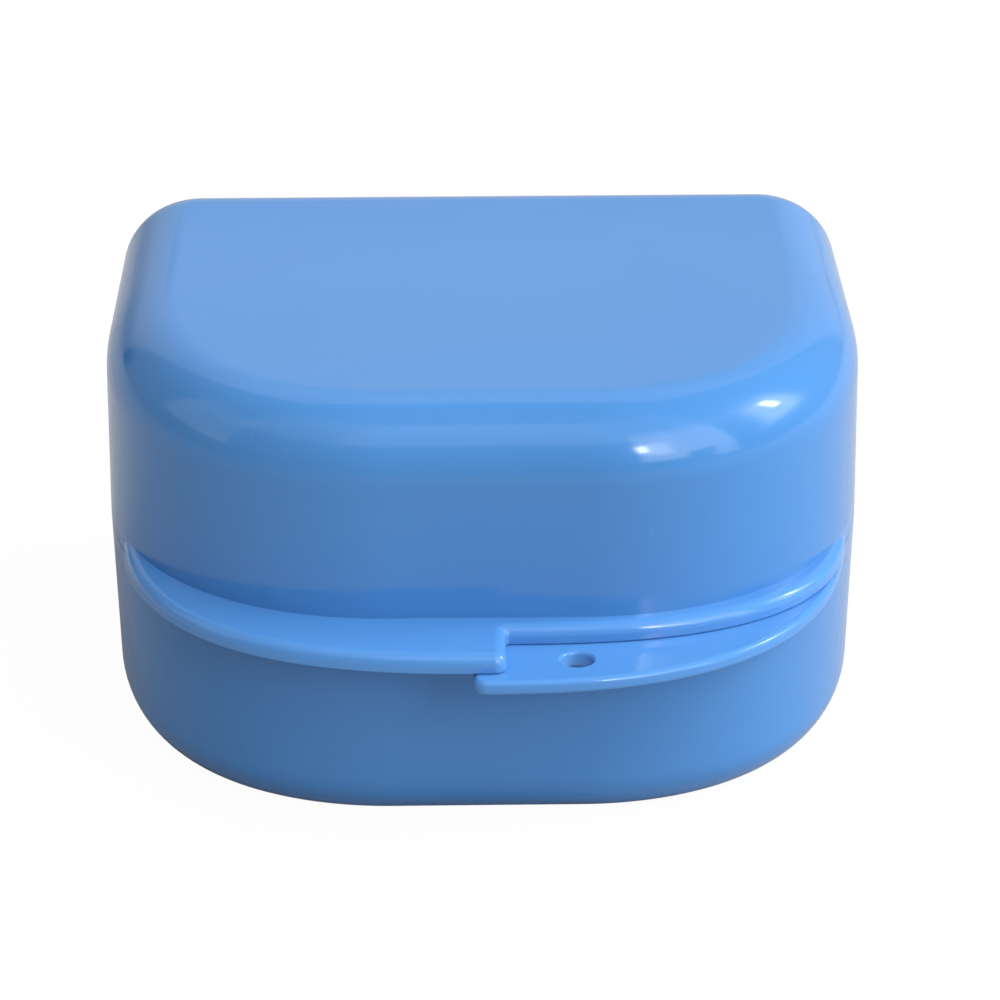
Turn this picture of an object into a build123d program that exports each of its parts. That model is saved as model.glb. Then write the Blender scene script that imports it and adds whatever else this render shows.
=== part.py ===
from build123d import *
from math import radians, tan
import os

os.makedirs("parts", exist_ok=True)

# Retainer case: two deep D-shaped shells, split at mid-height and hinged at the straight back wall.
# Millimetres. X is the viewer's right, Y points to the back, Z is up.
# The origin is the centre of the flat underside.

# Body of both shells, without the flanges and the hinge
body_width = 80.0
body_depth = 70.0
base_height = 21.5
lid_height = 23.5
back_corner_r = 8.8
straight_side = 32.0
straight_front = 20.0
front_pull = 3.0
base_draft = 1.5
lid_draft = 0.7
base_edge_r = 5.0
lid_edge_r = 7.5

# Walls and the joint between the shells
wall = 2.0
base_floor = 2.0
lid_roof = 2.0
parting_gap = 0.06
lip = 0.85
tongue_clearance = 0.3
tongue_height = 1.9
tongue_lead_in = 0.25

# Snap bead on the tongue and its groove in the lid, at the middle of the front
bead_length = 22.0
bead_height = 0.6
bead_proud = 0.2
groove_depth = 0.25
groove_clearance = 0.2

# Rim of each shell: a narrow ledge on one side of the front, a finger flange on the other
ledge_reach = 2.2
ledge_end_inset = 2.15
ledge_side_y = -9.8
ledge_pull = 13.7
lid_rim_thickness = 1.95
lid_rim_upper_edge_r = 1.2
lid_rim_lower_edge_r = 0.2
base_rim_thickness = 1.45
base_rim_upper_edge_r = 0.6
base_rim_lower_edge_r = 0.4

# Lid flange, on the viewer's left
lid_flange_reach = 8.6
lid_flange_end_inset = 2.25
lid_flange_side_y = -9.2
lid_flange_pull = 10.3
lid_flange_end_x = 1.8

# Base flange, on the viewer's right
base_flange_reach = 10.3
base_flange_end_inset = 1.9
base_flange_side_y = -5.3
base_flange_pull = 9.85
base_flange_end_x = -1.5
flange_corner_r = 1.3
flange_root_r = 0.4

# Cord hole in the base flange
cord_hole_d = 3.1
cord_hole_x = 8.75
cord_hole_from_wall = 5.3
cord_hole_edge_r = 0.4

# Hinge: two stations behind the back wall, each a lid knuckle between two base ears on one pin
hinge_station_x = 19.0
knuckle_r = 2.5
knuckle_to_wall = 0.5
lid_knuckle_width = 6.0
base_ear_width = 3.5
knuckle_side_gap = 0.3
hinge_web_height = 7.0
web_toe = 1.0
pin_d = 2.0
pin_clearance = 0.05
pin_chamfer = 0.2

# Places that follow from the sizes above
front_y = -body_depth / 2
back_y = body_depth / 2
base_top = base_height - parting_gap / 2
lid_bottom = base_height + parting_gap / 2
lid_top = base_height + lid_height
tongue_top = base_top + tongue_height
rebate_top = tongue_top + tongue_clearance
tongue_inset = lip + tongue_clearance
bead_middle = (lid_bottom + tongue_top) / 2
hinge_y = back_y + knuckle_r + knuckle_to_wall
hinge_z = base_height
ear_offset = (lid_knuckle_width + base_ear_width) / 2 + knuckle_side_gap
hinge_places = [-hinge_station_x, hinge_station_x]
ear_places = [x + side * ear_offset for x in hinge_places for side in (-1, 1)]
pin_length = lid_knuckle_width + 2 * (base_ear_width + knuckle_side_gap)


def body_plan(inset=0.0):
    """The D outline of the body, moved inwards by inset on every side."""
    half = body_width / 2 - inset
    rear_y = back_y - inset
    fore_y = front_y + inset
    corner_r = back_corner_r - inset
    flat_x = straight_front / 2
    with BuildSketch() as plan:
        with BuildLine():
            back = Line((0, rear_y), (half - corner_r, rear_y))
            corner = RadiusArc(back @ 1, (half, rear_y - corner_r), corner_r)
            side = Line(corner @ 1, (half, back_y - straight_side))
            bow = Bezier(side @ 1, (half, fore_y), (flat_x + front_pull, fore_y), (flat_x, fore_y))
            Line(bow @ 1, (0, fore_y))
            mirror(about=Plane.YZ)
        make_face()
    return plan.sketch


def taper(height, draft):
    """How far a wall of this draft leans inwards over a height."""
    return height * tan(radians(draft))


def crescent_plan(end_inset, side_y, reach, pull):
    """A rim's outline: it reaches out past the front wall and dies into the sides, end_inset inside them."""
    half_width = body_width / 2 - end_inset
    rim_y = front_y - reach
    with BuildSketch() as plan:
        with BuildLine():
            chord = Line((0, side_y), (half_width, side_y))
            Bezier(chord @ 1, (half_width, rim_y), (pull, rim_y), (0, rim_y))
            mirror(about=Plane.YZ)
        make_face()
    return plan.sketch


def rim_plan(flange, end_x, side):
    """A shell's rim: its flange from end_x to one side (1 right, -1 left), its ledge to the other."""
    beyond = 2 * body_width
    with BuildSketch() as plan:
        add(flange)
        with Locations((end_x - side * beyond / 2, 0)):
            Rectangle(beyond, beyond, mode=Mode.SUBTRACT)
        end_corners = plan.vertices().group_by(Axis.X)[0 if side > 0 else -1]
        fillet(end_corners.sort_by(Axis.Y)[0], radius=flange_corner_r)
        add(half_ledge_plan(end_x, side))
        end_line = plan.vertices().filter_by_position(Axis.X, end_x - 0.01, end_x + 0.01)
        fillet(end_line.sort_by(Axis.Y)[1], radius=flange_root_r)
    return plan.sketch


def half_ledge_plan(end_x, side):
    """The narrow ledge on the side of end_x that the flange leaves bare."""
    beyond = 2 * body_width
    with BuildSketch() as plan:
        add(crescent_plan(ledge_end_inset, ledge_side_y, ledge_reach, ledge_pull))
        with Locations((end_x + side * beyond / 2, 0)):
            Rectangle(beyond, beyond, mode=Mode.SUBTRACT)
    return plan.sketch


def rim_edges(rim, level):
    """The outer edges of a rim plate, below (0) or above (-1), without its chord inside the body."""
    level_edges = rim.faces().filter_by(Axis.Z).sort_by(Axis.Z)[level].edges()
    return level_edges.filter_by_position(Axis.Y, 2 * front_y, front_y / 2)


def strip_plan(outer_inset, inner_inset, length):
    """A strip of the wall's outline, length long, at the middle of the front."""
    with BuildSketch() as plan:
        add(body_plan(outer_inset))
        add(body_plan(inner_inset), mode=Mode.SUBTRACT)
        with Locations((0, front_y)):
            Rectangle(length, body_depth, mode=Mode.INTERSECT)
    return plan.sketch


def hinge_profile(rise):
    """A knuckle with the web that carries it, up (1) to the lid or down (-1) to the base."""
    web_z = hinge_z + rise * hinge_web_height
    root_y = back_y - lip / 2
    root_z = hinge_z + rise * parting_gap / 2
    with BuildSketch() as profile:
        with Locations((hinge_y, hinge_z)):
            Circle(knuckle_r)
        with BuildLine():
            Polyline(
                (root_y, root_z),
                (root_y, web_z),
                (back_y + web_toe, web_z),
                (hinge_y + knuckle_r, hinge_z),
                (hinge_y, hinge_z),
                (hinge_y, root_z),
                close=True,
            )
        make_face()
    return profile.sketch


# Outlines that the shells share
outer_plan = body_plan()
lip_plan = body_plan(lip)
tongue_plan = body_plan(tongue_inset)
hollow_plan = body_plan(wall)
base_flange_plan = crescent_plan(
    base_flange_end_inset, base_flange_side_y, base_flange_reach, base_flange_pull
)
lid_flange_plan = crescent_plan(
    lid_flange_end_inset, lid_flange_side_y, lid_flange_reach, lid_flange_pull
)

# Hollow of the base, up to its rim
with BuildPart() as base_hollow:
    with BuildSketch(Plane.XY.offset(base_top)):
        add(hollow_plan)
    with BuildSketch(Plane.XY.offset(base_floor)):
        add(body_plan(wall + taper(base_top - base_floor, base_draft)))
    loft()
    fillet(base_hollow.faces().sort_by(Axis.Z)[0].edges(), radius=base_edge_r - wall)

# Hollow of the lid, down to its rim
with BuildPart() as lid_hollow:
    with BuildSketch(Plane.XY.offset(lid_bottom)):
        add(hollow_plan)
    with BuildSketch(Plane.XY.offset(lid_top - lid_roof)):
        add(body_plan(wall + taper(lid_top - lid_roof - lid_bottom, lid_draft)))
    loft()
    fillet(lid_hollow.faces().sort_by(Axis.Z)[-1].edges(), radius=lid_edge_r - wall)

# Rim plate of the base with its flange on the right, drawn at height 0, still without its hollow
with BuildPart() as base_rim:
    with BuildSketch():
        add(rim_plan(base_flange_plan, base_flange_end_x, 1))
    extrude(amount=-base_rim_thickness)
    fillet(rim_edges(base_rim, 0), radius=base_rim_lower_edge_r)
    fillet(rim_edges(base_rim, -1), radius=base_rim_upper_edge_r)
    with BuildSketch():
        with Locations((cord_hole_x, front_y - cord_hole_from_wall)):
            Circle(cord_hole_d / 2)
    extrude(amount=-base_rim_thickness, mode=Mode.SUBTRACT)
    fillet(base_rim.edges().filter_by(GeomType.CIRCLE).group_by(Axis.Z)[-1], radius=cord_hole_edge_r)

# Rim plate of the lid with its flange on the left, drawn at height 0, still without its hollow
with BuildPart() as lid_rim:
    with BuildSketch():
        add(rim_plan(lid_flange_plan, lid_flange_end_x, -1))
    extrude(amount=lid_rim_thickness)
    fillet(rim_edges(lid_rim, 0), radius=lid_rim_lower_edge_r)
    fillet(rim_edges(lid_rim, -1), radius=lid_rim_upper_edge_r)

# Base shell
with BuildPart() as base_shell:
    with BuildSketch(Plane.XY.offset(base_top)):
        add(outer_plan)
    with BuildSketch():
        add(body_plan(taper(base_top, base_draft)))
    loft()
    fillet(base_shell.faces().sort_by(Axis.Z)[0].edges(), radius=base_edge_r)
    with Locations((0, 0, base_top)):
        add(base_rim.part)
    # Hollow, then the tongue that stands up inside the lid's lip
    add(base_hollow.part, mode=Mode.SUBTRACT)
    with BuildSketch(Plane.XY.offset(base_top)):
        add(tongue_plan)
        add(hollow_plan, mode=Mode.SUBTRACT)
    extrude(amount=tongue_height)
    chamfer(base_shell.faces().sort_by(Axis.Z)[-1].edges(), length=tongue_lead_in)
    # Snap bead
    with BuildSketch(Plane.XY.offset(bead_middle - bead_height / 2)):
        add(strip_plan(tongue_inset - bead_proud, wall, bead_length))
    extrude(amount=bead_height)
    # Two ears to each hinge, with the pin pressed into them
    with BuildSketch(*[Plane.YZ.offset(x) for x in ear_places]):
        add(hinge_profile(-1))
    extrude(amount=base_ear_width / 2, both=True)
    with BuildSketch(Plane.YZ):
        with Locations((hinge_y, hinge_z)):
            Circle(pin_d / 2)
    extrude(amount=body_width / 2, both=True, mode=Mode.SUBTRACT)

# Lid shell
with BuildPart() as lid_shell:
    with BuildSketch(Plane.XY.offset(lid_bottom)):
        add(outer_plan)
    with BuildSketch(Plane.XY.offset(lid_top)):
        add(body_plan(taper(lid_top - lid_bottom, lid_draft)))
    loft()
    fillet(lid_shell.faces().sort_by(Axis.Z)[-1].edges(), radius=lid_edge_r)
    with Locations((0, 0, lid_bottom)):
        add(lid_rim.part)
    # Hollow, and the rebate that leaves a lip around the tongue
    add(lid_hollow.part, mode=Mode.SUBTRACT)
    with BuildSketch(Plane.XY.offset(lid_bottom)):
        add(lip_plan)
    extrude(amount=rebate_top - lid_bottom, mode=Mode.SUBTRACT)
    # Groove over the snap bead
    groove_height = bead_height + 2 * groove_clearance
    with BuildSketch(Plane.XY.offset(bead_middle - groove_height / 2)):
        add(strip_plan(lip - groove_depth, wall, bead_length + 2 * groove_clearance))
    extrude(amount=groove_height, mode=Mode.SUBTRACT)
    # One knuckle to each hinge, turning on the pin
    with BuildSketch(*[Plane.YZ.offset(x) for x in hinge_places]):
        add(hinge_profile(1))
    extrude(amount=lid_knuckle_width / 2, both=True)
    with BuildSketch(Plane.YZ):
        with Locations((hinge_y, hinge_z)):
            Circle(pin_d / 2 + pin_clearance)
    extrude(amount=body_width / 2, both=True, mode=Mode.SUBTRACT)

# Hinge pins, one to each station
hinge_pins = {}
for name, station_x in zip(["hinge_pin_left", "hinge_pin_right"], hinge_places):
    with BuildPart() as hinge_pin:
        with BuildSketch(Plane.YZ.offset(station_x)):
            with Locations((hinge_y, hinge_z)):
                Circle(pin_d / 2)
        extrude(amount=pin_length / 2, both=True)
        chamfer(hinge_pin.edges().filter_by(GeomType.CIRCLE), length=pin_chamfer)
    hinge_pins[name] = hinge_pin.part

base_shell.part.label = "base_shell"
export_step(base_shell.part, "parts/base_shell.step")
lid_shell.part.label = "lid_shell"
export_step(lid_shell.part, "parts/lid_shell.step")
for name, pin in hinge_pins.items():
    pin.label = name
    export_step(pin, f"parts/{name}.step")
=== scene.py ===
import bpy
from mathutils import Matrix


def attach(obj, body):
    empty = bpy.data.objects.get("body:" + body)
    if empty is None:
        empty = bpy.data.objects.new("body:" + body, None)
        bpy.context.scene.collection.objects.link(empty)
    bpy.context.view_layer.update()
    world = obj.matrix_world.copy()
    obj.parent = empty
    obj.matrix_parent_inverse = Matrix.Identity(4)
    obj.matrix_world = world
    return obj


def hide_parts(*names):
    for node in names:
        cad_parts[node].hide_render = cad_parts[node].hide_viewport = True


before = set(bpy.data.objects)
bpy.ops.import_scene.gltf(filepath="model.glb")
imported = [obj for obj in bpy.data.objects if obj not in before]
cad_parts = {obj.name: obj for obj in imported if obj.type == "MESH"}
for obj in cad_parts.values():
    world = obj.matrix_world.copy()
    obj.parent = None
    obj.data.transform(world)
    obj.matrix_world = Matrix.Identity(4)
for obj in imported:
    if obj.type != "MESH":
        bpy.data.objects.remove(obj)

"""Retainer case: the looks of a hinged, D-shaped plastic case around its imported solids.

The lid and the base are modelled anew as smooth mouldings that stand for their two CAD
nodes, and the hinge pins keep their CAD nodes. Sizes are in millimetres and are the same
as in the part's source, save the parting gap, which is finer here so that its line is as
faint as on the real case. Every mesh is written in metres.
"""

import logging
import math
from dataclasses import dataclass, field
from enum import Enum

import bmesh
import bpy
from mathutils import Matrix, Vector

LOG = logging.getLogger("retainer_case")
MM = 0.001
LEVEL = 1e-6  # metres within which places are the same
QUARTER_HANDLE = 0.5523  # a Bezier quarter circle's handle, by its radius
ROUND_SIDES = 96
OUTLINE_CORNERS = 8  # a face with more is a whole outline
WHITE = (1.0, 1.0, 1.0, 1.0)

Knot = tuple[Vector, Vector, Vector]
Colour = tuple[float, float, float, float]


class Side(Enum):
    """Which way a rim's flange reaches, seen from the front."""

    LEFT = -1
    RIGHT = 1


class Shell(Enum):
    """The two mouldings: their node and the body that they ride on."""

    BASE = ("base_shell", "base")
    LID = ("lid_shell", "lid")

    def __init__(self, node: str, body: str) -> None:
        """Keeps the node's name and the body's."""
        self.node = node
        self.body = body


class Cut(Enum):
    """What a Boolean modifier does with its second solid."""

    JOIN = "UNION"
    TAKE = "DIFFERENCE"


def spline_ring(
    bm: bmesh.types.BMesh, knots: list[Knot], z: float, steps: int
) -> list[bmesh.types.BMVert]:
    """Adds a closed Bezier outline to a mesh as a ring of vertices.

    Args:
        bm: The mesh that receives the ring.
        knots: Point, left handle and right handle of each knot, in millimetres.
        z: Height of the ring in millimetres.
        steps: How many pieces each curved stretch is divided into.

    Returns:
        The new vertices, in order.
    """
    curve = bpy.data.curves.new("outline", "CURVE")
    curve.dimensions = "3D"
    curve.resolution_u = steps
    spline = curve.splines.new("BEZIER")
    spline.bezier_points.add(len(knots) - 1)
    spline.use_cyclic_u = True
    for point, (place, left, right) in zip(spline.bezier_points, knots):
        point.handle_left_type = point.handle_right_type = "FREE"
        point.co = (place * MM).to_3d()
        point.handle_left = (left * MM).to_3d()
        point.handle_right = (right * MM).to_3d()
    holder = bpy.data.objects.new("outline", curve)
    mesh = bpy.data.meshes.new_from_object(holder)
    before = len(bm.verts)
    bm.from_mesh(mesh)
    bm.verts.ensure_lookup_table()
    ring = bm.verts[before:]
    bmesh.ops.translate(bm, verts=ring, vec=(0, 0, z * MM))
    bmesh.ops.remove_doubles(bm, verts=ring, dist=LEVEL / 2)
    bm.verts.ensure_lookup_table()
    ring = bm.verts[before:]
    bpy.data.objects.remove(holder)
    bpy.data.curves.remove(curve)
    bpy.data.meshes.remove(mesh)
    return ring


def mirrored(knots: list[Knot]) -> list[Knot]:
    """An outline's knots on the other side of the middle, in the same turn."""
    turned = [(place, after, before) for place, before, after in reversed(knots)]
    return [tuple(Vector((-v.x, v.y)) for v in knot) for knot in turned]


def slab(knots: list[Knot], z: float, rise: float, steps: int) -> bmesh.types.BMesh:
    """Extrudes a closed outline into a solid.

    Args:
        knots: The outline's knots, as spline_ring takes them.
        z: Height of the first face in millimetres.
        rise: Signed height of the solid in millimetres.
        steps: Pieces for each curved stretch.

    Returns:
        A new mesh with the solid in it, its normals outwards.
    """
    bm = bmesh.new()
    ring = spline_ring(bm, knots, z, steps)
    edges = list(dict.fromkeys(e for v in ring for e in v.link_edges))
    face = bmesh.ops.contextual_create(bm, geom=edges)["faces"]
    grown = bmesh.ops.extrude_face_region(bm, geom=face)["geom"]
    verts = [g for g in grown if isinstance(g, bmesh.types.BMVert)]
    bmesh.ops.translate(bm, verts=verts, vec=(0, 0, rise * MM))
    bmesh.ops.recalc_face_normals(bm, faces=bm.faces)
    return bm


def at_height(vert: bmesh.types.BMVert, z: float) -> bool:
    """Whether a vertex lies at a height in millimetres."""
    return abs(vert.co.z - z * MM) < LEVEL


def flat_face(bm: bmesh.types.BMesh, z: float) -> bmesh.types.BMFace:
    """The widest face that lies level at a height in millimetres."""
    level = [f for f in bm.faces if all(at_height(v, z) for v in f.verts)]
    return max(level, key=lambda f: f.calc_area())


def push_in(bm: bmesh.types.BMesh, z: float, border: float, depth: float) -> None:
    """Insets the level face at a height and moves its middle up or down.

    Args:
        bm: The mesh.
        z: Height of the face in millimetres.
        border: Width of the border that stays, in millimetres.
        depth: Signed travel of the middle, in millimetres.
    """
    face = flat_face(bm, z)
    bmesh.ops.inset_region(bm, faces=[face], thickness=border * MM, use_even_offset=True)
    whole = [f for f in bm.faces if len(f.verts) > OUTLINE_CORNERS]
    level = [f for f in whole if all(at_height(v, z) for v in f.verts)]
    face = min(level, key=lambda f: f.calc_area())
    grown = bmesh.ops.extrude_face_region(bm, geom=[face])["geom"]
    bmesh.ops.delete(bm, geom=[face], context="FACES_ONLY")
    verts = [g for g in grown if isinstance(g, bmesh.types.BMVert)]
    bmesh.ops.translate(bm, verts=verts, vec=(0, 0, depth * MM))


def lean_in(bm: bmesh.types.BMesh, z: float, inset: float, width: float, depth: float) -> None:
    """Gives a wall its draft by drawing in the outline at one height.

    Args:
        bm: The mesh.
        z: The height in millimetres.
        inset: How far the outline is drawn in.
        width: The outline's width.
        depth: The outline's depth.
    """
    verts = [v for v in bm.verts if at_height(v, z)]
    share = (1 - 2 * inset / width, 1 - 2 * inset / depth, 1)
    bmesh.ops.scale(bm, verts=verts, vec=share)


def bevel(
    bm: bmesh.types.BMesh,
    edges: list[bmesh.types.BMEdge],
    radius: float,
    segments: int,
    clamp: bool = True,
) -> None:
    """Rounds edges.

    Args:
        bm: The mesh.
        edges: The edges to round.
        radius: The radius in millimetres.
        segments: Pieces of the rounding.
        clamp: Whether the rounding stops where it would overlap.
    """
    bmesh.ops.bevel(
        bm,
        geom=edges,
        offset=radius * MM,
        offset_type="OFFSET",
        affect="EDGES",
        segments=segments,
        profile=0.5,
        material=-1,
        clamp_overlap=clamp,
    )


def round_edge(bm: bmesh.types.BMesh, z: float, radius: float, segments: int) -> None:
    """Rounds all the edges of the level face at a height, in millimetres."""
    bevel(bm, list(flat_face(bm, z).edges), radius, segments, clamp=False)


def to_object(bm: bmesh.types.BMesh, name: str) -> bpy.types.Object:
    """Writes a mesh to a new object in the scene and frees it.

    Args:
        bm: The mesh.
        name: The object's name.

    Returns:
        The object.
    """
    mesh = bpy.data.meshes.new(name)
    bm.normal_update()
    bm.to_mesh(mesh)
    bm.free()
    made = bpy.data.objects.new(name, mesh)
    bpy.context.scene.collection.objects.link(made)
    return made


def combine(body: bpy.types.Object, other: bpy.types.Object, cut: Cut) -> None:
    """Joins a second solid to a first, or takes it away, and removes the second.

    Args:
        body: The solid that is changed.
        other: The solid that is used up.
        cut: What is done.
    """
    tool = body.modifiers.new("cut", "BOOLEAN")
    tool.operation = cut.value
    tool.solver = "EXACT"
    tool.object = other
    graph = bpy.context.evaluated_depsgraph_get()
    mesh = bpy.data.meshes.new_from_object(body.evaluated_get(graph))
    body.modifiers.clear()
    old = body.data
    body.data = mesh
    bpy.data.meshes.remove(old)
    used = other.data
    bpy.data.objects.remove(other)
    bpy.data.meshes.remove(used)


def round_bar(radius: float, middle: Vector, length: float) -> bmesh.types.BMesh:
    """A round bar along X, in millimetres.

    Args:
        radius: Its radius.
        middle: Its middle.
        length: Its length.

    Returns:
        A new mesh with the bar in it.
    """
    bm = bmesh.new()
    bmesh.ops.create_cone(
        bm,
        cap_ends=True,
        segments=ROUND_SIDES,
        radius1=radius * MM,
        radius2=radius * MM,
        depth=length * MM,
        matrix=Matrix.Translation(middle * MM) @ Matrix.Rotation(math.pi / 2, 4, "Y"),
    )
    return bm


class Value:
    """A socket that takes part in Python arithmetic and adds Math nodes."""

    def __init__(self, nodes: "Nodes", socket: bpy.types.NodeSocket) -> None:
        """Keeps the socket and the tree that it is in."""
        self.nodes = nodes
        self.socket = socket

    def _math(self, operation: str, *values: "Value | float") -> "Value":
        """Adds a Math node."""
        out = self.nodes.add("ShaderNodeMath", {"operation": operation}, dict(enumerate(values)))
        return Value(self.nodes, out.outputs[0])

    def __add__(self, other: "Value | float") -> "Value":
        """Sum."""
        return self._math("ADD", self, other)

    __radd__ = __add__

    def __sub__(self, other: "Value | float") -> "Value":
        """Difference."""
        return self._math("SUBTRACT", self, other)

    def __rsub__(self, other: float) -> "Value":
        """Difference from a number."""
        return self._math("SUBTRACT", other, self)

    def __mul__(self, other: "Value | float") -> "Value":
        """Product."""
        return self._math("MULTIPLY", self, other)

    __rmul__ = __mul__

    def most(self, other: "Value | float") -> "Value":
        """The greater of the two."""
        return self._math("MAXIMUM", self, other)

    def size(self) -> "Value":
        """Its value without the sign."""
        return self._math("ABSOLUTE", self)

    def angle(self, along: "Value") -> "Value":
        """The angle in degrees whose tangent is this over another value."""
        return self._math("ARCTAN2", self, along) * math.degrees(1)

    def arc_sine(self) -> "Value":
        """The angle in radians whose sine it is."""
        return self._math("ARCSINE", self)

    def ramp(self, low: float, high: float, to_low: float = 0.0, to_high: float = 1.0) -> "Value":
        """Maps a stretch of values to another, smoothly and clamped.

        Args:
            low: Where the stretch begins.
            high: Where it ends.
            to_low: The result at its beginning and before.
            to_high: The result at its end and after.

        Returns:
            The result.
        """
        out = self.nodes.add(
            "ShaderNodeMapRange",
            {"interpolation_type": "SMOOTHSTEP", "clamp": True},
            {"Value": self, "From Min": low, "From Max": high, "To Min": to_low, "To Max": to_high},
        )
        return Value(self.nodes, out.outputs["Result"])


class Nodes:
    """A node tree with one method that adds any node."""

    def __init__(self, tree: bpy.types.NodeTree) -> None:
        """Takes over a tree and empties it."""
        self.tree = tree
        tree.nodes.clear()

    def add(
        self, kind: str, settings: dict | None = None, inputs: dict | None = None
    ) -> bpy.types.Node:
        """Adds a node.

        Args:
            kind: The node's type.
            settings: Its properties, set first.
            inputs: Values or links by socket name or number.

        Returns:
            The node.
        """
        node = self.tree.nodes.new(kind)
        for key, value in (settings or {}).items():
            setattr(node, key, value)
        for key, value in (inputs or {}).items():
            socket = node.inputs[key]
            if isinstance(value, Value):
                self.tree.links.new(value.socket, socket)
            elif isinstance(value, bpy.types.NodeSocket):
                self.tree.links.new(value, socket)
            else:
                socket.default_value = value
        return node

    def noise(
        self, place: bpy.types.NodeSocket, scale: float, detail: float, rough: float = 0.5
    ) -> Value:
        """A noise on a place."""
        inputs = {"Vector": place, "Scale": scale, "Detail": detail, "Roughness": rough}
        return Value(self, self.add("ShaderNodeTexNoise", None, inputs).outputs["Fac"])

    def mixed(self, share: Value, first: object, second: object) -> bpy.types.NodeSocket:
        """Mixes two colours by a share, through the node's colour sockets 6, 7 and 2."""
        node = self.add("ShaderNodeMix", {"data_type": "RGBA"}, {0: share, 6: first, 7: second})
        return node.outputs[2]

    def bump(self, strength: float, distance: float, height: Value) -> bpy.types.NodeSocket:
        """A normal roughened by a height."""
        inputs = {"Strength": strength, "Distance": distance, "Height": height}
        return self.add("ShaderNodeBump", None, inputs).outputs["Normal"]


@dataclass(frozen=True)
class GlossyPlastic:
    """Sky-blue polypropylene, glossy, with the faint waves and rubs of a moulding in use.

    The light that the thin rims let through is painted in as a paler tone, in a band at rim height
    across the front that takes in the walls there too.
    """

    name: str = "blue_polypropylene"
    colour: Colour = (0.058, 0.209, 0.498, 1.0)
    deeper: Colour = (0.055, 0.201, 0.491, 1.0)
    dusty: Colour = (0.095, 0.26, 0.55, 1.0)
    # painted glow: a paler tone that stands in for light let through the thin rims
    painted_glow: Colour = (0.074, 0.240, 0.570, 1.0)
    rim_bottom: float = 0.01995
    rim_top: float = 0.02350
    rim_fade: float = 5e-5
    rim_back: float = -0.008
    rim_back_fade: float = 0.008
    gloss: float = 0.10
    rubbed: float = 0.22
    ior: float = 1.49
    flow_scale: float = 28.0
    flow_band: tuple[float, float] = (0.3, 0.7)
    speck_scale: float = 900.0
    speck_band: tuple[float, float] = (0.74, 0.80)
    speck_share: float = 0.18
    rub_scale: float = 60.0
    rub_band: tuple[float, float] = (0.60, 0.78)
    rub_relief: float = 0.01
    wave_scale: float = 110.0
    wave_relief: float = 0.6
    grain_scale: float = 5200.0
    grain_relief: float = 0.004
    relief: float = 0.035
    relief_depth: float = 0.001
    seed_place: tuple[float, float, float] = (0.0, 0.0, 0.0)

    def painted_glow_share(self, nodes: Nodes, place: bpy.types.NodeSocket) -> Value:
        """How much of a place gets the painted glow of light let through the thin rims.

        Args:
            nodes: The material's nodes.
            place: The place's Object coordinates.

        Returns:
            1 between the rims' outer faces at the front, else 0.
        """
        axes = nodes.add("ShaderNodeSeparateXYZ", None, {0: place}).outputs
        y, z = Value(nodes, axes["Y"]), Value(nodes, axes["Z"])
        share = z.ramp(self.rim_bottom, self.rim_bottom + self.rim_fade)
        share = share * y.ramp(self.rim_back - self.rim_back_fade, self.rim_back, 1.0, 0.0)
        return share * z.ramp(self.rim_top, self.rim_top + self.rim_fade, 1.0, 0.0)

    def material(self) -> bpy.types.Material:
        """Builds the material.

        Returns:
            The material.
        """
        made = bpy.data.materials.new(self.name)
        made.use_nodes = True
        nodes = Nodes(made.node_tree)
        place = nodes.add("ShaderNodeTexCoord").outputs["Object"]
        rim = self.painted_glow_share(nodes, place)
        moved = {"Vector": place, "Location": self.seed_place}
        place = nodes.add("ShaderNodeMapping", None, moved).outputs["Vector"]
        flow = nodes.noise(place, self.flow_scale, 2.0)
        specks = nodes.noise(place, self.speck_scale, 1.0).ramp(*self.speck_band)
        rubs = nodes.noise(place, self.rub_scale, 4.0, 0.6).ramp(*self.rub_band)
        waves = nodes.noise(place, self.wave_scale, 1.0)
        grain = nodes.noise(place, self.grain_scale, 1.0)
        tone = nodes.mixed(flow.ramp(*self.flow_band), self.colour, self.deeper)
        tone = nodes.mixed(specks * self.speck_share, tone, self.dusty)
        # painted glow: the rims, and the front walls at their height, are mixed towards a paler
        # tone for light let through
        tone = nodes.mixed(rim, tone, self.painted_glow)
        rough = rubs * (self.rubbed - self.gloss) + self.gloss
        rise = waves * self.wave_relief + grain * self.grain_relief + rubs * self.rub_relief
        bump = nodes.bump(self.relief, self.relief_depth, rise)
        inputs = {"Base Color": tone, "Roughness": rough, "Normal": bump, "IOR": self.ior}
        shader = nodes.add("ShaderNodeBsdfPrincipled", None, inputs).outputs["BSDF"]
        nodes.add("ShaderNodeOutputMaterial", None, {"Surface": shader})
        return made


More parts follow.
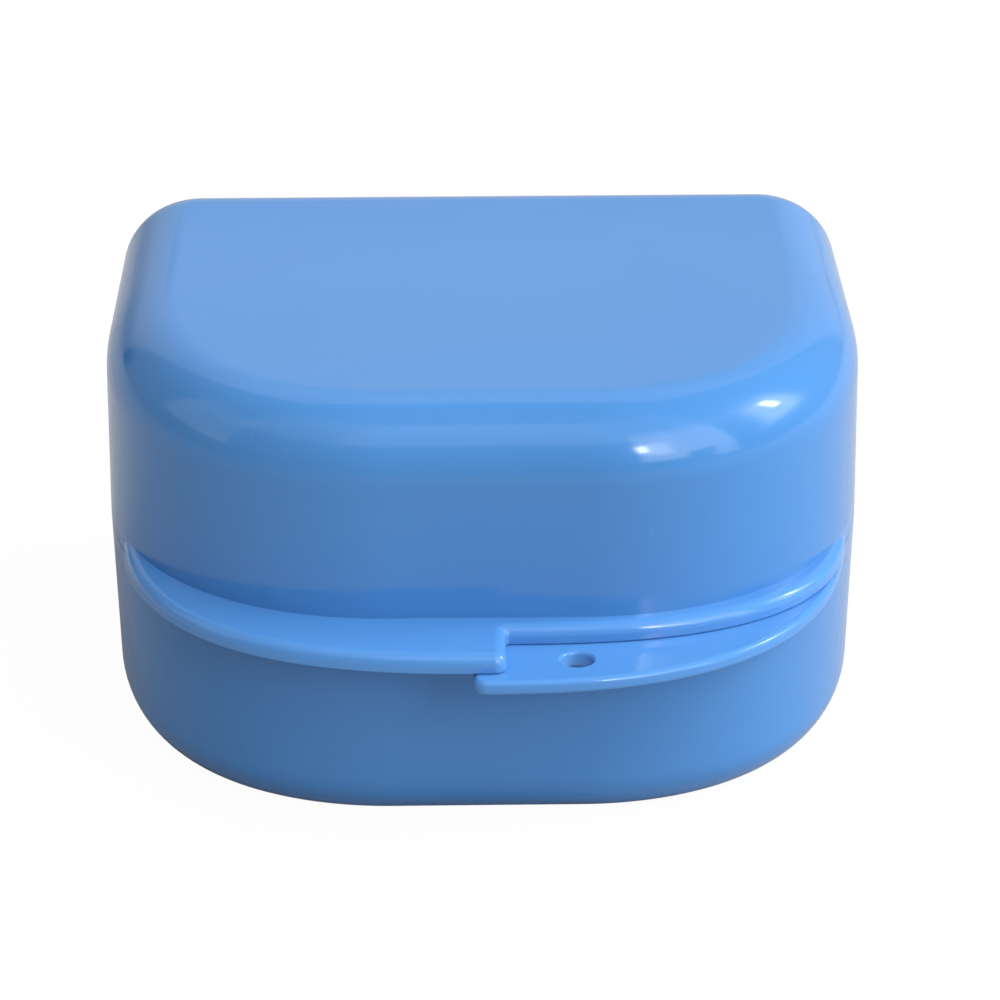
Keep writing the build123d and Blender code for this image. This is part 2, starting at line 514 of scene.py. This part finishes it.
@dataclass(frozen=True)
class PinSteel:
    """Drawn stainless wire with fine rings round it."""

    name: str = "drawn_steel"
    colour: Colour = (0.56, 0.57, 0.58, 1.0)
    worn: Colour = (0.42, 0.42, 0.43, 1.0)
    line_scale: float = 9000.0
    line_stretch: float = 0.05
    stain_scale: float = 700.0
    stain_band: tuple[float, float] = (0.35, 0.7)
    gloss: float = 0.22
    stained: float = 0.2
    relief: float = 0.15
    relief_depth: float = 0.0002

    def material(self) -> bpy.types.Material:
        """Builds the material.

        Returns:
            The material.
        """
        made = bpy.data.materials.new(self.name)
        made.use_nodes = True
        nodes = Nodes(made.node_tree)
        place = nodes.add("ShaderNodeTexCoord").outputs["Object"]
        stretched = {"Vector": place, "Scale": (self.line_stretch, 1.0, 1.0)}
        drawn = nodes.add("ShaderNodeMapping", None, stretched).outputs["Vector"]
        lines = nodes.noise(drawn, self.line_scale, 2.0)
        stain = nodes.noise(place, self.stain_scale, 3.0)
        tone = nodes.mixed(stain.ramp(*self.stain_band), self.colour, self.worn)
        bump = nodes.bump(self.relief, self.relief_depth, lines)
        rough = stain * self.stained + self.gloss
        inputs = {"Base Color": tone, "Metallic": 1.0, "Roughness": rough, "Normal": bump}
        shader = nodes.add("ShaderNodeBsdfPrincipled", None, inputs).outputs["BSDF"]
        nodes.add("ShaderNodeOutputMaterial", None, {"Surface": shader})
        return made


@dataclass(frozen=True)
class CasePlan:
    """The D outline that both shells share, in millimetres."""

    width: float = 80.0
    depth: float = 70.0
    back_corner_r: float = 8.8
    straight_side: float = 32.0
    straight_front: float = 20.0
    front_pull: float = 3.0
    straight_handle: float = 3.0
    steps: int = 48

    def knots(self, inset: float = 0.0) -> list[Knot]:
        """The outline's knots, counter-clockwise from the right of the back wall.

        Args:
            inset: How far it lies inside the case's outer face.

        Returns:
            Place, left handle and right handle of each knot.
        """
        half, rear, fore = self.width / 2 - inset, self.depth / 2 - inset, -self.depth / 2 + inset
        corner = self.back_corner_r - inset
        reach, level = corner * QUARTER_HANDLE, self.straight_handle
        side_y = self.depth / 2 - self.straight_side
        flat = self.straight_front / 2
        right = [
            (Vector((flat, fore)), Vector((0, fore)), Vector((flat + self.front_pull, fore))),
            (Vector((half, side_y)), Vector((half, fore)), Vector((half, side_y + level))),
            (
                Vector((half, rear - corner)),
                Vector((half, side_y + level)),
                Vector((half, rear - corner + reach)),
            ),
            (
                Vector((half - corner, rear)),
                Vector((half - corner + reach, rear)),
                Vector((half - corner - level, rear)),
            ),
        ]
        return right + mirrored(right)


@dataclass(frozen=True)
class RimPlan:
    """A shell's rim: a wide finger flange on one side of the front and a ledge on the other."""

    side: Side
    reach: float
    side_y: float
    pull: float
    end_x: float
    end_inset: float
    thickness: float
    upper_edge_r: float
    lower_edge_r: float
    ledge_reach: float = 2.2
    ledge_end_inset: float = 2.15
    ledge_side_y: float = -9.8
    ledge_pull: float = 13.7
    corner_r: float = 1.3
    root_r: float = 0.4
    closing_pull: float = 0.3
    middle_handle: float = 0.1
    end_handle: float = 0.5
    upper_segments: int = 12
    lower_segments: int = 8
    steps: int = 50

    def knots(self, plan: CasePlan) -> list[Knot]:
        """The rim's outline, closed through the inside of the case.

        Args:
            plan: The case's outline.

        Returns:
            Place, left handle and right handle of each knot.
        """
        half, fore = plan.width / 2, -plan.depth / 2
        tip_x, rim_y = half - self.end_inset, fore - self.reach
        ledge_x, ledge_y = half - self.ledge_end_inset, fore - self.ledge_reach
        end = self.end_x * self.side.value
        start, finish = Vector((tip_x, self.side_y)), Vector((-ledge_x, self.ledge_side_y))
        bow, near, far = QUARTER_HANDLE, self.middle_handle, self.end_handle
        corner, root = self.corner_r, self.root_r
        knots = [
            (start, start.lerp(finish, self.closing_pull), Vector((tip_x, rim_y))),
            (Vector((0, rim_y)), Vector((self.pull, rim_y)), Vector((-near, rim_y))),
            (
                Vector((end + corner, rim_y)),
                Vector((end + corner + near, rim_y)),
                Vector((end + corner * (1 - bow), rim_y)),
            ),
            (
                Vector((end, rim_y + corner)),
                Vector((end, rim_y + corner * (1 - bow))),
                Vector((end, rim_y + corner + far)),
            ),
            (
                Vector((end, ledge_y - root)),
                Vector((end, ledge_y - root - far)),
                Vector((end, ledge_y - root * (1 - bow))),
            ),
            (
                Vector((end - root, ledge_y)),
                Vector((end - root * (1 - bow), ledge_y)),
                Vector((-self.ledge_pull, ledge_y)),
            ),
            (finish, Vector((-ledge_x, ledge_y)), finish.lerp(start, self.closing_pull)),
        ]
        return knots if self.side is Side.RIGHT else mirrored(knots)

    def solid(self, plan: CasePlan, bottom: float) -> bpy.types.Object:
        """The rim plate with its rounded edges.

        Args:
            plan: The case's outline.
            bottom: Height of its underside in millimetres.

        Returns:
            The solid.
        """
        bm = slab(self.knots(plan), bottom, self.thickness, self.steps)
        round_edge(bm, bottom + self.thickness, self.upper_edge_r, self.upper_segments)
        round_edge(bm, bottom, self.lower_edge_r, self.lower_segments)
        return to_object(bm, "rim")


@dataclass(frozen=True)
class HingePlan:
    """The hinge behind the back wall, in millimetres."""

    station_x: float = 19.0
    knuckle_r: float = 2.5
    knuckle_to_wall: float = 0.5
    lid_knuckle_width: float = 6.0
    base_ear_width: float = 3.5
    side_gap: float = 0.3
    web_height: float = 7.0
    web_toe: float = 1.0
    web_meets: tuple[float, float] = (0.9, 0.4359)
    pin_d: float = 2.0
    pin_clearance: float = 0.05
    edge_r: float = 0.25
    edge_segments: int = 8
    sharp_deg: float = 60.0
    bore_length: float = 60.0

    def axis_y(self, plan: CasePlan) -> float:
        """Distance of the axis behind the middle."""
        return plan.depth / 2 + self.knuckle_r + self.knuckle_to_wall

    def knuckle(
        self,
        plan: CasePlan,
        axis_z: float,
        rise: int,
        x: float,
        width: float,
        root_y: float,
        root_z: float,
    ) -> bpy.types.Object:
        """A knuckle with the web that carries it.

        Args:
            plan: The case's outline.
            axis_z: Height of the axis.
            rise: 1 for the lid's, -1 for the base's.
            x: Where it stands along the axis.
            width: How wide it is.
            root_y: Where the web ends inside the wall.
            root_z: Where the web begins beside the parting line.

        Returns:
            The solid.
        """
        axis_y, back = self.axis_y(plan), plan.depth / 2
        web_z = axis_z + rise * self.web_height
        bar = round_bar(self.knuckle_r, Vector((x, axis_y, axis_z)), width)
        ends = [e for e in bar.edges if e.calc_face_angle() > math.radians(self.sharp_deg)]
        bevel(bar, ends, self.edge_r, self.edge_segments)
        knuckle = to_object(bar, "knuckle")
        web = bmesh.new()
        corners = [
            (root_y, root_z),
            (root_y, web_z),
            (back + self.web_toe, web_z),
            (
                axis_y + self.knuckle_r * self.web_meets[0],
                axis_z + rise * self.knuckle_r * self.web_meets[1],
            ),
            (axis_y, axis_z),
            (axis_y, root_z),
        ]
        first = [web.verts.new(((x - width / 2) * MM, y * MM, z * MM)) for y, z in corners]
        grown = bmesh.ops.extrude_face_region(web, geom=[web.faces.new(first)])["geom"]
        moved = [g for g in grown if isinstance(g, bmesh.types.BMVert)]
        bmesh.ops.translate(web, verts=moved, vec=(width * MM, 0, 0))
        bmesh.ops.recalc_face_normals(web, faces=web.faces)
        outer = [
            e
            for e in web.edges
            if all(v.co.y > (back + 0.1) * MM for v in e.verts)
            and all((v.co.z - axis_z * MM) * rise > LEVEL for v in e.verts)
            or {round(v.co.z / MM, 3) for v in e.verts} == {round(web_z, 3)}
        ]
        bevel(web, outer, self.edge_r, self.edge_segments)
        combine(knuckle, to_object(web, "web"), Cut.JOIN)
        return knuckle

    def bore(self, plan: CasePlan, axis_z: float, radius: float) -> bpy.types.Object:
        """The bar that is taken away along the axis."""
        middle = Vector((0, self.axis_y(plan), axis_z))
        return to_object(round_bar(radius, middle, self.bore_length), "bore")


@dataclass
class Moulding:
    """What the lid and the base have in common, in millimetres."""

    plan: CasePlan = field(default_factory=CasePlan)
    hinge: HingePlan = field(default_factory=HingePlan)
    base_height: float = 21.5
    lid_height: float = 23.5
    parting_gap: float = 0.03
    wall: float = 2.0
    lip: float = 0.85
    tongue_clearance: float = 0.3
    tongue_height: float = 1.9
    tongue_edge_r: float = 0.25
    bead_length: float = 22.0
    bead_height: float = 0.6
    bead_proud: float = 0.2
    groove_depth: float = 0.25
    groove_clearance: float = 0.2
    strip_root: float = 0.3
    strip_edge_r: float = 0.18
    strip_edge_share: float = 0.45
    strip_segments: int = 3
    parting_edge_r: float = 0.1
    small_segments: int = 2
    fillet_segments: int = 18
    inner_segments: int = 12
    through: float = 1.0
    sharp_deg: float = 16.0
    normal_weight: int = 60
    made: bpy.types.Object | None = None

    @property
    def base_top(self) -> float:
        """Where the base's rim ends."""
        return self.base_height - self.parting_gap / 2

    @property
    def lid_bottom(self) -> float:
        """Where the lid's rim begins."""
        return self.base_height + self.parting_gap / 2

    @property
    def tongue_top(self) -> float:
        """Top of the tongue on the base."""
        return self.base_top + self.tongue_height

    @property
    def bead_middle(self) -> float:
        """Height of the snap bead."""
        return (self.lid_bottom + self.tongue_top) / 2

    @staticmethod
    def draft(height: float, degrees: float) -> float:
        """How far a drafted wall leans in over a height."""
        return height * math.tan(math.radians(degrees))

    def walled(
        self, z: float, rise: float, inset: float, degrees: float, radius: float, segments: int
    ) -> bmesh.types.BMesh:
        """A drafted D-shaped solid with its far edge rounded.

        Args:
            z: Height of its mouth.
            rise: Signed height.
            inset: How far its mouth lies inside the case's outer face.
            degrees: Its draft.
            radius: Radius of the far edge.
            segments: Pieces of that radius.

        Returns:
            The mesh.
        """
        bm = slab(self.plan.knots(inset), z, rise, self.plan.steps)
        lean = self.draft(abs(rise), degrees)
        lean_in(bm, z + rise, lean, self.plan.width - 2 * inset, self.plan.depth - 2 * inset)
        round_edge(bm, z + rise, radius, segments)
        return bm

    def strip(self, proud_inset: float, height: float, length: float) -> bpy.types.Object:
        """The straight strip of a snap bead or its groove at the middle of the front.

        Args:
            proud_inset: How far its crest lies inside the case's outer face.
            height: How high it is.
            length: How long it is.

        Returns:
            The solid.
        """
        front = -self.plan.depth / 2 + proud_inset
        bm = bmesh.new()
        size = Vector((length, self.wall - proud_inset - self.strip_root, height))
        middle = Vector((0, front + size.y / 2, self.bead_middle))
        place = Matrix.Translation(middle * MM) @ Matrix.Diagonal((*(size * MM), 1))
        bmesh.ops.create_cube(bm, size=1, matrix=place)
        front_edges = [e for e in bm.edges if all(v.co.y < (front + 0.01) * MM for v in e.verts)]
        radius = min(self.strip_edge_r, height * self.strip_edge_share)
        bevel(bm, front_edges, radius, self.strip_segments)
        return to_object(bm, "strip")

    def finish_shape(self, shell: Shell) -> bpy.types.Object:
        """Cleans the moulding, shades it and puts it in its node's place.

        Args:
            shell: Which of the two it is.

        Returns:
            The finished piece.
        """
        bm = bmesh.new()
        bm.from_mesh(self.made.data)
        bmesh.ops.remove_doubles(bm, verts=bm.verts, dist=LEVEL)
        bmesh.ops.dissolve_degenerate(bm, edges=bm.edges, dist=LEVEL)
        open_edges = [e for e in bm.edges if not e.is_manifold]
        LOG.info("%s: %d faces, %d open edges", shell.node, len(bm.faces), len(open_edges))
        bm.to_mesh(self.made.data)
        bm.free()
        self.made.data.shade_smooth()
        self.made.data.set_sharp_from_angle(angle=math.radians(self.sharp_deg))
        weighted = self.made.modifiers.new("weighted", "WEIGHTED_NORMAL")
        weighted.keep_sharp = True
        weighted.weight = self.normal_weight
        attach(self.made, shell.body)
        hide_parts(shell.node)
        return self.made

    def dress(self, finish: bpy.types.Material) -> None:
        """Gives the moulding its material."""
        self.made.data.materials.clear()
        self.made.data.materials.append(finish)


@dataclass
class LidShell(Moulding):
    """The upper shell with its flange on the viewer's left."""

    draft_deg: float = 0.7
    edge_r: float = 7.5
    roof: float = 2.0
    rim: RimPlan = field(
        default_factory=lambda: RimPlan(
            side=Side.LEFT,
            reach=8.6,
            side_y=-9.2,
            pull=10.3,
            end_x=1.8,
            end_inset=2.25,
            thickness=1.95,
            upper_edge_r=1.2,
            lower_edge_r=0.2,
        )
    )

    def build(self) -> bpy.types.Object:
        """Builds the lid.

        Returns:
            The finished piece.
        """
        top = self.base_height + self.lid_height
        low = self.lid_bottom
        body = self.walled(low, top - low, 0.0, self.draft_deg, self.edge_r, self.fillet_segments)
        round_edge(body, low, self.parting_edge_r, self.small_segments)
        self.made = to_object(body, "lid_case")
        combine(self.made, self.rim.solid(self.plan, self.lid_bottom), Cut.JOIN)
        combine(self.made, self.hollow(top), Cut.TAKE)
        half_x = self.hinge.station_x
        for x in (-half_x, half_x):
            knuckle = self.hinge.knuckle(
                self.plan,
                self.base_height,
                1,
                x,
                self.hinge.lid_knuckle_width,
                self.plan.depth / 2 - self.lip / 2,
                self.lid_bottom,
            )
            combine(self.made, knuckle, Cut.JOIN)
        bore_r = self.hinge.pin_d / 2 + self.hinge.pin_clearance
        combine(self.made, self.hinge.bore(self.plan, self.base_height, bore_r), Cut.TAKE)
        groove = self.strip(
            self.lip - self.groove_depth,
            self.bead_height + 2 * self.groove_clearance,
            self.bead_length + 2 * self.groove_clearance,
        )
        combine(self.made, groove, Cut.TAKE)
        return self.finish_shape(Shell.LID)

    def hollow(self, top: float) -> bpy.types.Object:
        """The lid's hollow with the rebate round the tongue.

        Args:
            top: Height of the lid's outer face.

        Returns:
            The solid that is taken away.
        """
        rebate_top = self.tongue_top + self.tongue_clearance
        mouth = self.lid_bottom - self.through
        bm = slab(self.plan.knots(self.lip), mouth, rebate_top - mouth, self.plan.steps)
        depth = top - self.roof - rebate_top
        push_in(bm, rebate_top, self.wall - self.lip, depth)
        lean = self.draft(depth, self.draft_deg)
        inner = self.plan.width - 2 * self.wall, self.plan.depth - 2 * self.wall
        lean_in(bm, top - self.roof, lean, *inner)
        round_edge(bm, top - self.roof, self.edge_r - self.wall, self.inner_segments)
        bmesh.ops.recalc_face_normals(bm, faces=bm.faces)
        return to_object(bm, "hollow")


@dataclass
class BaseShell(Moulding):
    """The lower shell with its flange on the viewer's right and the cord hole in it."""

    draft_deg: float = 1.5
    edge_r: float = 5.0
    floor: float = 2.0
    hole_d: float = 3.1
    hole_x: float = 8.75
    hole_from_wall: float = 5.3
    hole_edge_r: float = 0.4
    hole_edge_steps: int = 8
    hole_sides: int = 64
    rim: RimPlan = field(
        default_factory=lambda: RimPlan(
            side=Side.RIGHT,
            reach=10.3,
            side_y=-5.3,
            pull=9.85,
            end_x=-1.5,
            end_inset=1.9,
            thickness=1.45,
            upper_edge_r=0.6,
            lower_edge_r=0.4,
        )
    )

    def build(self) -> bpy.types.Object:
        """Builds the base.

        Returns:
            The finished piece.
        """
        top = self.base_top
        body = self.walled(top, -top, 0.0, self.draft_deg, self.edge_r, self.fillet_segments)
        push_in(body, self.base_top, self.lip + self.tongue_clearance, self.tongue_height)
        round_edge(body, self.tongue_top, self.tongue_edge_r, self.small_segments)
        self.made = to_object(body, "base_case")
        rim = self.rim.solid(self.plan, self.base_top - self.rim.thickness)
        combine(rim, self.cord_hole(), Cut.TAKE)
        combine(self.made, rim, Cut.JOIN)
        combine(self.made, self.hollow(), Cut.TAKE)
        widths = self.hinge.lid_knuckle_width + self.hinge.base_ear_width
        offset = widths / 2 + self.hinge.side_gap
        for station in (-self.hinge.station_x, self.hinge.station_x):
            for x in (station - offset, station + offset):
                ear = self.hinge.knuckle(
                    self.plan,
                    self.base_height,
                    -1,
                    x,
                    self.hinge.base_ear_width,
                    self.plan.depth / 2 - self.lip / 2,
                    self.base_top,
                )
                combine(self.made, ear, Cut.JOIN)
        bore = self.hinge.bore(self.plan, self.base_height, self.hinge.pin_d / 2)
        combine(self.made, bore, Cut.TAKE)
        bead_inset = self.lip + self.tongue_clearance - self.bead_proud
        combine(self.made, self.strip(bead_inset, self.bead_height, self.bead_length), Cut.JOIN)
        return self.finish_shape(Shell.BASE)

    def hollow(self) -> bpy.types.Object:
        """The base's hollow.

        Returns:
            The solid that is taken away.
        """
        mouth = self.tongue_top + self.through
        bm = slab(self.plan.knots(self.wall), mouth, self.floor - mouth, self.plan.steps)
        lean = self.draft(self.base_top - self.floor, self.draft_deg)
        inner = self.plan.width - 2 * self.wall, self.plan.depth - 2 * self.wall
        lean_in(bm, self.floor, lean, *inner)
        round_edge(bm, self.floor, self.edge_r - self.wall, self.inner_segments)
        bmesh.ops.recalc_face_normals(bm, faces=bm.faces)
        return to_object(bm, "hollow")

    def cord_hole(self) -> bpy.types.Object:
        """The bar that makes the hole, flared into a rounded mouth.

        Returns:
            The solid that is taken away.
        """
        bm = bmesh.new()
        radius, edge, top = self.hole_d / 2, self.hole_edge_r, self.base_top
        under = top - self.rim.thickness
        profile = [(radius, under - 1), (radius, top - edge)]
        count = self.hole_edge_steps
        for turn in (math.radians(90 / count * step) for step in range(1, count + 1)):
            out, up = edge * (1 - math.cos(turn)), edge * math.sin(turn)
            profile.append((radius + out, top - edge + up))
        profile.append((radius + edge, top + 1))
        verts = [bm.verts.new((r * MM, 0, z * MM)) for r, z in profile]
        edges = [bm.edges.new(pair) for pair in zip(verts, verts[1:])]
        bmesh.ops.spin(
            bm,
            geom=verts + edges,
            axis=(0, 0, 1),
            cent=(0, 0, 0),
            angle=math.tau,
            steps=self.hole_sides,
            use_merge=True,
            use_duplicate=False,
        )
        bmesh.ops.remove_doubles(bm, verts=bm.verts, dist=LEVEL / 10)
        bmesh.ops.holes_fill(bm, edges=[e for e in bm.edges if e.is_boundary])
        place = Vector((self.hole_x, -self.plan.depth / 2 - self.hole_from_wall, 0)) * MM
        bmesh.ops.translate(bm, verts=bm.verts, vec=place)
        bmesh.ops.recalc_face_normals(bm, faces=bm.faces)
        return to_object(bm, "hole")


@dataclass
class HingePins:
    """The two pins, whose CAD nodes are shown."""

    nodes: tuple[str, str] = ("hinge_pin_left", "hinge_pin_right")

    def dress(self, finish: bpy.types.Material) -> None:
        """Gives the pins their material.

        Args:
            finish: The material.
        """
        for name in self.nodes:
            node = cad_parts[name]
            for slot in node.material_slots:
                slot.material = finish
            LOG.info("%s: CAD node with %s", name, finish.name)


@dataclass(frozen=True)
class Glow:
    """A soft-edged bright patch of the room round the table, in degrees.

    The bearing is counted from the back wall, positive to the viewer's right.
    """

    bearing: float
    half_width: float
    low: float
    high: float
    soft: float
    level: float
    top_soft: float = 0.0

    def light(self, x: Value, y: Value, height: Value) -> Value:
        """Its light in a direction.

        Args:
            x: The direction's part to the right.
            y: The direction's part to the back.
            height: The direction's height in degrees.

        Returns:
            The light's strength.
        """
        turn = math.radians(self.bearing)
        along = x * math.sin(turn) + y * math.cos(turn)
        across = x * math.cos(turn) - y * math.sin(turn)
        aside = across.angle(along).size()
        width = aside.ramp(self.half_width - self.soft, self.half_width + self.soft, 1.0, 0.0)
        rise = height.ramp(self.low - self.soft, self.low + self.soft)
        top = max(self.soft, self.top_soft)
        fall = height.ramp(self.high - top, self.high + top, 1.0, 0.0)
        return width * rise * fall * self.level


@dataclass(frozen=True)
class Softbox:
    """A large lamp that looks at the case and stays out of its reflections."""

    name: str
    bearing: float
    height: float
    size: tuple[float, float]
    watts: float
    distance: float = 1.0
    aim_z: float = 0.025

    def place(self) -> None:
        """Adds the lamp to the scene."""
        data = bpy.data.lights.new(self.name, "AREA")
        data.shape = "RECTANGLE"
        data.size, data.size_y = self.size
        data.energy = self.watts
        made = bpy.data.objects.new(self.name, data)
        a, e = math.radians(self.bearing), math.radians(self.height)
        way = Vector((math.sin(a) * math.cos(e), math.cos(a) * math.cos(e), math.sin(e)))
        made.location = way * self.distance + Vector((0, 0, self.aim_z))
        made.rotation_euler = way.to_track_quat("Z", "Y").to_euler()
        made.visible_glossy = False
        bpy.context.scene.collection.objects.link(made)


@dataclass
class Studio:
    """The photograph's table, room, lamps and camera."""

    camera_mm: tuple[float, float, float] = (-4.257, -378.347, 191.080)
    focal_px: float = 3848.488
    frame_px: float = 1000.0
    sensor_mm: float = 36.0
    pitch: float = 24.264
    yaw: float = -0.921
    roll: float = 0.114
    floor_size: float = 4.0
    floor_tone: float = 0.42
    floor_white: float = 1.04
    floor_share: float = 0.93
    dim_room: float = 0.276
    glows: tuple[Glow, ...] = (
        Glow(-1, 34, -4, 66.5, 1.0, 0.348),
        Glow(-1, 10, 18.0, 20.2, 0.5, -0.20),
        Glow(-30, 10, -9, 8.5, 4.0, -0.30),
        Glow(-1, 34, 41, 66.5, 1.0, 0.14),
        Glow(-1, 34, 47, 66.5, 1.0, 0.16),
        Glow(0.5, 31, 20.3, 21.0, 0.4, 0.30),
        Glow(-90, 20.5, 13.5, 47, 1.2, 0.52, 6.0),
        Glow(-103, 8, 12.5, 20, 1.5, 0.34, 4.0),
        Glow(-178, 77, 41, 75, 1.0, 0.417),
        Glow(-178, 22, 42, 75, 4.0, 0.45, 6.0),
        Glow(147.5, 9.5, 10.5, 50, 1.0, 2.6, 10.0),
        Glow(127, 11.5, 17, 48, 1.5, 2.4, 12.0),
        Glow(121, 5.5, 3, 17, 1.5, 2.0),
        Glow(149.5, 6, 19, 37, 3.0, 3.2),
        Glow(155.2, 1.7, 25, 34, 1.3, 24.0),
        Glow(83, 17, 12, 50, 6.0, 0.6),
        Glow(82, 12, 17, 43, 5.0, 3.0),
        Glow(79.5, 2.2, 28.5, 39.0, 1.4, 26.0),
    )
    softboxes: tuple[Softbox, ...] = (
        Softbox("key_front_right", 135, 20, (0.6, 0.5), 1.5),
        Softbox("side_right", 90, 36, (0.6, 0.6), 7.5),
        Softbox("ceiling", 180, 75, (0.7, 0.7), 3.2),
    )

    def camera(self) -> None:
        """Places the camera."""
        data = bpy.data.cameras.new("camera")
        data.sensor_width = self.sensor_mm
        data.lens = self.focal_px / self.frame_px * self.sensor_mm
        data.clip_start, data.clip_end = 0.01, 20.0
        made = bpy.data.objects.new("camera", data)
        made.location = Vector(self.camera_mm) * MM
        turn = (
            Matrix.Rotation(math.radians(self.yaw), 4, "Z")
            @ Matrix.Rotation(math.radians(90 - self.pitch), 4, "X")
            @ Matrix.Rotation(math.radians(-self.roll), 4, "Z")
        )
        made.rotation_euler = turn.to_euler()
        bpy.context.scene.collection.objects.link(made)
        bpy.context.scene.camera = made

    def world(self) -> None:
        """White to the camera, and to all else a dim room with a board behind and windows."""
        made = bpy.data.worlds.new("room")
        bpy.context.scene.world = made
        made.use_nodes = True
        nodes = Nodes(made.node_tree)
        way = nodes.add("ShaderNodeTexCoord").outputs["Generated"]
        axes = nodes.add("ShaderNodeSeparateXYZ", None, {0: way}).outputs
        x, y, z = (Value(nodes, s) for s in axes)
        height = z.arc_sine() * math.degrees(1)
        first, *others = (glow.light(x, y, height) for glow in self.glows)
        room = self.dim_room + sum(others, first)
        seen = Value(nodes, nodes.add("ShaderNodeLightPath").outputs["Is Camera Ray"])
        level = seen + (1 - seen) * room
        shader = nodes.add("ShaderNodeBackground", None, {"Color": WHITE, "Strength": level})
        nodes.add("ShaderNodeOutputWorld", None, {"Surface": shader.outputs[0]})

    def floor(self) -> None:
        """A table top that stays white to the camera and keeps a faint shadow."""
        bm = bmesh.new()
        bmesh.ops.create_grid(bm, x_segments=1, y_segments=1, size=self.floor_size / 2)
        made = to_object(bm, "table_top")
        material = bpy.data.materials.new("white_table")
        material.use_nodes = True
        nodes = Nodes(material.node_tree)
        ray = nodes.add("ShaderNodeLightPath").outputs
        seen = Value(nodes, ray["Is Camera Ray"]).most(Value(nodes, ray["Is Transmission Ray"]))
        tone = (self.floor_tone, self.floor_tone, self.floor_tone, 1)
        matt = nodes.add("ShaderNodeBsdfDiffuse", None, {"Color": tone}).outputs[0]
        glow = {"Color": WHITE, "Strength": self.floor_white}
        white = nodes.add("ShaderNodeEmission", None, glow).outputs[0]
        share = {0: seen * self.floor_share, 1: matt, 2: white}
        mix = nodes.add("ShaderNodeMixShader", None, share).outputs[0]
        nodes.add("ShaderNodeOutputMaterial", None, {"Surface": mix})
        made.data.materials.append(material)

    def lamps(self) -> None:
        """Lights the case softly from the right and above."""
        for box in self.softboxes:
            box.place()


def main() -> None:
    """Builds the case and its studio."""
    logging.basicConfig(level=logging.INFO, format="%(message)s")
    scene = bpy.context.scene
    scene.view_settings.view_transform = "Standard"
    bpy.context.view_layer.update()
    studio = Studio()
    studio.camera()
    studio.world()
    studio.floor()
    studio.lamps()
    lid, base = LidShell(), BaseShell()
    for moulding in (lid, base):
        made = moulding.build()
        LOG.info("%s stands for its node", made.name)
    lid.dress(GlossyPlastic().material())
    base.dress(GlossyPlastic(name="blue_polypropylene_base", seed_place=(0.3, 0.1, 0.2)).material())
    HingePins().dress(PinSteel().material())


if __name__ == "__main__":
    main()
